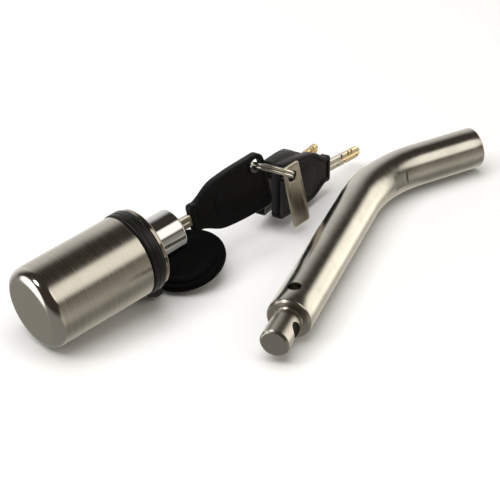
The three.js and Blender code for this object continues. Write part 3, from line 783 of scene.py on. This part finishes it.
def key_blade(name):
    """The metal blade and its tang, with a groove, milled cuts and dimples on both faces."""
    h, half = BLADE_H / 2, BLADE_T / 2
    tip = -BLADE_LENGTH
    point = [(tip, -0.45), (tip + 0.25, -0.8), (tip + 1.7, -h + 0.1), (tip + 2.1, -h)]
    low = point + [(-0.2, -h), (TANG_LENGTH, -h)]
    outline = low + [(x, -y) for x, y in reversed(low)]
    obj = layered(name, outline, [(0.3, -half), (0.0, -half + 0.25), (0.0, half - 0.25), (0.3, half)])
    for side in (-1, 1):
        z0, z1 = sorted((side * (half - 0.5), side * (half + 1)))
        boolean(obj, block("groove", tip - 1, -0.5, -0.45, 0.35, z0, z1))
        for x, depth in ((-16.4, 0.55), (-14.1, 0.4), (-9.2, 0.45)):
            z0, z1 = sorted((side * (half - depth), side * (half + 1)))
            boolean(obj, block("milled", x - 0.6, x + 0.6, 0.6, 3.0, z0, z1))
        for x in (-20.2, -11.4, -6.0):
            top, pit = (x, -1.3, side * (half + 0.5)), (x, -1.3, side * (half - 0.45))
            boolean(obj, cone_rod("dimple", [(top, 1.15), (pit, 0.25)], 24))
    return obj


KEYS = (
    ("key_a", KEY_A, NICKEL_A_PAINTED_SHADE, "nickel"),
    ("key_b", KEY_B, NICKEL_B, "nickel"),
    ("key_c", KEY_C, BRASS, "brass"),
)
for key, matrix, finish, slot in KEYS:
    place(key_head(f"{key}_bow"), matrix, PLASTIC, key, f"{key}_head")
    place(key_blade(f"{key}_shank"), matrix, finish, key, f"{key}_blade")


def split_ring():
    """Nearly two turns of wire, with tapered ends."""
    steps = 190
    path = []
    for i in range(steps + 1):
        t = i / steps
        a = 2 * math.pi * RING_TURNS * t
        path.append((-WIRE_PITCH + (2 * WIRE_PITCH - 0.1) * t, RING_R * math.cos(a), RING_R * math.sin(a)))
    taper = {0: 0.55, 1: 0.85, steps - 1: 0.85, steps: 0.55}
    return sweep("split_ring_wire", path, [WIRE_R * taper.get(i, 1.0) for i in range(steps + 1)], 16)


place(split_ring(), RING, WIRE, "key_ring", "split_ring")


def tag():
    """A plain metal plate with a raised border, hanging along -X from its eye."""
    r, half, t = 1.0, TAG_WIDTH / 2, TAG_T / 2
    x0, x1, y1 = TAG_DROP - TAG_LENGTH + r, TAG_DROP - r, half - r
    outline = (arc(x1, y1, r, 0, 90, 6) + arc(x0, y1, r, 90, 180, 6)
               + arc(x0, -y1, r, 180, 270, 6) + arc(x1, -y1, r, 270, 360, 6))
    border = [(0.0, t - 0.18), (0.18, t), (0.86, t), (1.0, t - 0.08)]
    obj = layered("key_tag", outline, [(step, -z) for step, z in reversed(border)] + border)
    return boolean(obj, eyelet("tag_eye", 0, 0, t, TAG_EYE_R, flare=0.45, above=0.3, below=0.15, segments=40))


place(tag(), TAG, TAG_METAL, "key_tag", "tag")

# ---------------------------------------------------------------- bent pin


def pin_point(s):
    """The point on the pin's centre line at a distance along it, and how far it has turned there."""
    turn = min(max((s - PIN_STRAIGHT) / PIN_BEND_R, 0.0), PIN_BEND)
    arm = max(s - PIN_STRAIGHT - PIN_BEND_R * PIN_BEND, 0.0)
    x = min(s, PIN_STRAIGHT) + PIN_BEND_R * math.sin(turn) + arm * math.cos(turn)
    y = PIN_BEND_R * (math.cos(turn) - 1) - arm * math.sin(turn)
    return Vector((x, y, 0)), turn


def bent_pin():
    """Shaft, bend and arm in one sweep, with the necked stub and its notch, a cross hole and a press mark."""
    bend = PIN_BEND_R * PIN_BEND
    total = PIN_STRAIGHT + bend + PIN_ARM
    stations = [0.0, 0.25, 0.6, 0.9, 1.1] + [6.0 * i for i in range(1, 13)] + [PIN_STRAIGHT - 2]
    stations += [PIN_STRAIGHT + bend * i / 32 for i in range(33)]
    stations += [PIN_STRAIGHT + bend + 2, total - 14, total - 6, total - 1.0, total - 0.7, total - 0.3, total]
    radii = {0.0: 7.1, 0.25: 7.35, 0.6: 7.72, 0.9: 7.95, total - 0.7: 7.93, total - 0.3: 7.6, total: 7.2}
    path = [pin_point(s)[0] for s in stations]
    obj = sweep("locking_pin", path, [radii.get(s, PIN_R) for s in stations], 80)
    stub = turned("stub", [
        (-STUB_LENGTH, 4.4),
        (-STUB_LENGTH + 0.25, 4.75),
        (-STUB_LENGTH + 0.8, STUB_R),
        (-1.5, STUB_R),
        (-1.2, STUB_R - STUB_NECK),
        (-0.5, STUB_R - STUB_NECK),
        (0.0, STUB_R + 0.1),
        (0.8, STUB_R),
    ], 80)
    boolean(obj, stub, "UNION")
    y = -(STUB_R + NOTCH_CUTTER_R - NOTCH_DEPTH)
    boolean(obj, rod("notch", (-NOTCH_CENTRE, y, -9), (-NOTCH_CENTRE, y, 9), NOTCH_CUTTER_R, 56))
    hole = eyelet("clip_hole", 0, 0, PIN_R, CLIP_HOLE_R, flare=0.35, above=0.3, below=0.1)
    hole.data.transform(Matrix.Translation((CLIP_HOLE_X, 0, 0)) @ Matrix.Rotation(-CLIP_HOLE_TILT, 4, "X"))
    boolean(obj, hole)
    centre, turn = pin_point(PIN_STRAIGHT + bend * PRESS_SHARE)
    x, z = PRESS_HALF
    flat = block("press_mark", -x, x, -PIN_R - 3, -PIN_R + PRESS_DEPTH, -z, z)
    tilt = Matrix.Rotation(PRESS_TILT, 4, "X")
    flat.data.transform(Matrix.Translation(centre) @ Matrix.Rotation(-turn, 4, "Z") @ tilt)
    return boolean(obj, flat)


place(bent_pin(), PIN, SATIN, "pin", "bent_pin")

# ---------------------------------------------------------------- return spring


def return_spring():
    """The coil behind the barrel."""
    steps = 240
    path = []
    for i in range(steps + 1):
        a = 2 * math.pi * SPRING_TURNS * i / steps
        x = SPRING_START + SPRING_WIRE_R + (SPRING_END - SPRING_START - 2 * SPRING_WIRE_R) * i / steps
        path.append((x, SPRING_R * math.cos(a), SPRING_R * math.sin(a)))
    return sweep("return_spring_coil", path, [SPRING_WIRE_R] * (steps + 1), 10)


# The coil gets a mesh of its own.
coil = place(return_spring(), HEAD, STEEL, "lock_head", "return_spring")
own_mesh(coil)

# ---------------------------------------------------------------- inner CAD pieces

INNER = {
    "plug_clip": STEEL,
    "latch_pawl": STEEL,
    "lock_bolt": STEEL,
    "retaining_pin": STEEL,
    "barrel_seal": RUBBER,
    **{f"wafer_{i + 1}": BRASS for i in range(len(WAFER_PLACES))},
}
for name, material in INNER.items():
    node = frame["nodes"][name]
    node.data.materials.clear()
    node.data.materials.append(material)

# ---------------------------------------------------------------- floor, light and camera

FLOOR_DROP_M = 0.0002
low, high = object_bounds()
bpy.ops.mesh.primitive_plane_add(size=6.0, location=(0, 0, low.z - FLOOR_DROP_M))
floor = bpy.context.object
floor.name = "floor"
paper = Nodes("floor_paper")
paper.set(Roughness=0.9)
paper.colour(paper.ramp(paper.noise(paper.object, scale=3.0, detail=2.0), [(0.3, 0.86), (0.7, 0.88)]))
floor.data.materials.append(paper.material)
# The metal mirrors the dim studio below the horizon, not the bright sheet.
floor.visible_glossy = False


def soft_light(name, direction, distance, size, power, colour):
    """A round lamp that faces the middle of the scene: metres and watts."""
    light = bpy.data.lights.new(name, "AREA")
    light.shape = "DISK"
    light.size = size
    light.energy = power
    light.color = colour
    obj = bpy.data.objects.new(name, light)
    bpy.context.scene.collection.objects.link(obj)
    obj.location = Vector(direction).normalized() * distance
    obj.rotation_mode = "QUATERNION"
    obj.rotation_quaternion = (-obj.location).to_track_quat("-Z", "Y")
    return obj


overhead = soft_light("overhead_light", (-0.15, 0.1, 1.0), 1.1, 1.3, 14.0, (1.0, 0.99, 0.98))
overhead.visible_glossy = False
soft_light("key_light", (-0.66, 0.25, 0.75), 0.9, 0.25, 1.2, (1.0, 0.99, 0.97))

# The studio as the metal sees it: a dark ceiling, a dim floor, and soft patches of light round the sides.
# A patch is (direction, full light within, no light beyond, colour), with both angles in degrees.
FLOOR_SHADE = (0.29, 0.28, 0.255)
CEILING_SHADE = (0.055, 0.045, 0.036)
BACKDROP = (0.93, 0.93, 0.93)
SOFT_PATCHES = [
    ((0.45, 0.89, 0.00), 10, 54, (0.86, 0.85, 0.82)),
    ((0.38, -0.58, 0.72), 14, 25, (1.55, 1.50, 1.36)),
    ((0.975, -0.13, 0.08), 11, 31, (1.85, 1.79, 1.60)),
    ((-0.85, 0.52, 0.02), 21, 32, (1.95, 1.92, 1.85)),
    ((0.80, 0.15, -0.58), 10, 40, (0.45, 0.42, 0.36)),
    ((0.40, -0.90, -0.12), 12, 34, (0.29, 0.268, 0.228)),
]
world = bpy.data.worlds.new("studio")
bpy.context.scene.world = world
world.use_nodes = True
tree = world.node_tree
background = tree.nodes["Background"]
direction = tree.nodes.new("ShaderNodeTexCoord").outputs["Generated"]


def value_map(source, start, end, **settings):
    """Maps a value to 0 at the start and 1 at the end."""
    node = tree.nodes.new("ShaderNodeMapRange")
    for key, value in settings.items():
        setattr(node, key, value)
    tree.links.new(source, node.inputs["Value"])
    node.inputs["From Min"].default_value = start
    node.inputs["From Max"].default_value = end
    return node.outputs["Result"]


def blended(factor, first, second, blend="MIX"):
    """Mixes two colours: the first is a colour or a socket."""
    node = tree.nodes.new("ShaderNodeMix")
    node.data_type = "RGBA"
    node.blend_type = blend
    tree.links.new(factor, node.inputs["Factor"])
    if isinstance(first, tuple):
        node.inputs[6].default_value = (*first, 1.0)
    else:
        tree.links.new(first, node.inputs[6])
    node.inputs[7].default_value = (*second, 1.0)
    return node.outputs[2]


def patch(previous, centre, inner, outer, colour):
    """Adds a soft round patch of light around a direction."""
    across = tree.nodes.new("ShaderNodeVectorMath")
    across.operation = "DOT_PRODUCT"
    tree.links.new(direction, across.inputs[0])
    across.inputs[1].default_value = Vector(centre).normalized()
    start, end = math.cos(math.radians(outer)), math.cos(math.radians(inner))
    share = value_map(across.outputs["Value"], start, end, interpolation_type="SMOOTHSTEP")
    return blended(share, previous, colour, "ADD")


height = tree.nodes.new("ShaderNodeSeparateXYZ")
tree.links.new(direction, height.inputs[0])
walls = blended(value_map(height.outputs["Z"], -0.25, 0.05), FLOOR_SHADE, CEILING_SHADE)
for soft_patch in SOFT_PATCHES:
    walls = patch(walls, *soft_patch)
is_camera = tree.nodes.new("ShaderNodeLightPath").outputs["Is Camera Ray"]
tree.links.new(blended(is_camera, walls, BACKDROP), background.inputs["Color"])
background.inputs["Strength"].default_value = 1.0

CAMERA_TARGET = Vector((-6.73, 12.4, 0.0)) * MM
CAMERA_DISTANCE = 590.4 * MM
CAMERA_LENS, CAMERA_SENSOR = 116.7, 36.0
CAMERA_FORWARD = Vector((0.54657, 0.62343, -0.55911)).normalized()
camera = bpy.data.objects.new("camera", bpy.data.cameras.new("camera"))
bpy.context.scene.collection.objects.link(camera)
camera.data.sensor_width = CAMERA_SENSOR
camera.data.lens = CAMERA_LENS
camera.location = CAMERA_TARGET - CAMERA_FORWARD * CAMERA_DISTANCE
camera.rotation_mode = "QUATERNION"
camera.rotation_quaternion = CAMERA_FORWARD.to_track_quat("-Z", "Y")
camera.data.clip_start, camera.data.clip_end = 0.01, 20.0
bpy.context.scene.camera = camera
bpy.context.scene.view_settings.view_transform = "Standard"
